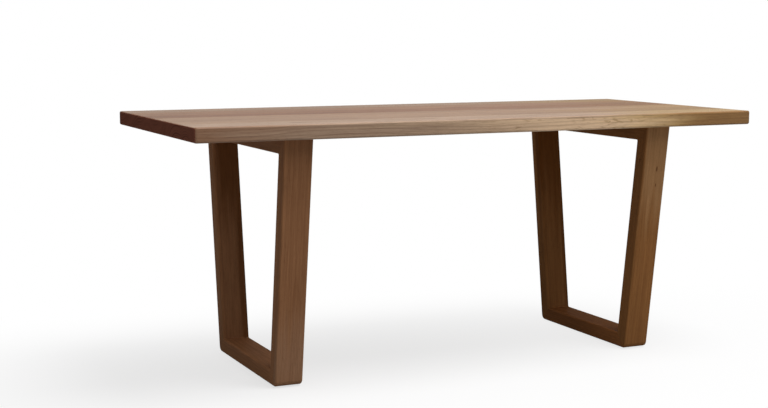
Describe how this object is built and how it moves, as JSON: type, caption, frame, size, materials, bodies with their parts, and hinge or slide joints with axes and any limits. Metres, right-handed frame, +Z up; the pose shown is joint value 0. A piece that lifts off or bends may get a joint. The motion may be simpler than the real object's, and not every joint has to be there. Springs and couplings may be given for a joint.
{
  "type": "outdoor dining table",
  "caption": "Rectangular outdoor dining table: thick edge-jointed wood top on splayed, closed trapezoid leg frames that narrow to the floor, with levelling feet.",
  "frame": {"origin": "on the floor, under the middle of the top", "axes": "+X along the table's length, +Y towards its rear long side, +Z up"},
  "size_m": [1.8, 0.8, 0.76],
  "materials": {
    "top_wood": "oiled, satin, lengthwise grain",
    "frame_wood": "oiled, satin, grain along each member",
    "joint_wood": "bare, glued in",
    "black_coat": "matt powder coat",
    "stainless": "plain machined",
    "brass": "plain machined",
    "nylon": "moulded, matt"
  },
  "bodies": {
    "table": {"top_plank_1": "top_wood", "top_plank_2": "top_wood", "top_plank_3": "top_wood", "top_plank_4": "top_wood", "top_plank_5": "top_wood", "top_plank_6": "top_wood", "loose_tongue_1": "joint_wood", "loose_tongue_2": "joint_wood", "loose_tongue_3": "joint_wood", "loose_tongue_4": "joint_wood", "loose_tongue_5": "joint_wood", "underside_stiffener": "black_coat", "stiffener_screws": "stainless", "left_front_leg": "frame_wood", "left_rear_leg": "frame_wood", "left_top_rail": "frame_wood", "left_foot_rail": "frame_wood", "left_corner_tenons": "joint_wood", "left_frame_bolts": "stainless", "left_bolt_washers": "stainless", "left_top_inserts": "brass", "left_foot_sleeves": "brass", "right_front_leg": "frame_wood", "right_rear_leg": "frame_wood", "right_top_rail": "frame_wood", "right_foot_rail": "frame_wood", "right_corner_tenons": "joint_wood", "right_frame_bolts": "stainless", "right_bolt_washers": "stainless", "right_top_inserts": "brass", "right_foot_sleeves": "brass"},
    "left_front_foot": {"left_front_foot_pad": "nylon", "left_front_foot_stud": "stainless"},
    "left_rear_foot": {"left_rear_foot_pad": "nylon", "left_rear_foot_stud": "stainless"},
    "right_front_foot": {"right_front_foot_pad": "nylon", "right_front_foot_stud": "stainless"},
    "right_rear_foot": {"right_rear_foot_pad": "nylon", "right_rear_foot_stud": "stainless"}
  },
  "joints": [
    {"name": "left_front_foot_height", "type": "slide", "parent": "table", "child": "left_front_foot", "axis": [0, 0, -1], "range_m": [0, 0.01]},
    {"name": "left_rear_foot_height", "type": "slide", "parent": "table", "child": "left_rear_foot", "axis": [0, 0, -1], "range_m": [0, 0.01]},
    {"name": "right_front_foot_height", "type": "slide", "parent": "table", "child": "right_front_foot", "axis": [0, 0, -1], "range_m": [0, 0.01]},
    {"name": "right_rear_foot_height", "type": "slide", "parent": "table", "child": "right_rear_foot", "axis": [0, 0, -1], "range_m": [0, 0.01]}
  ]
}
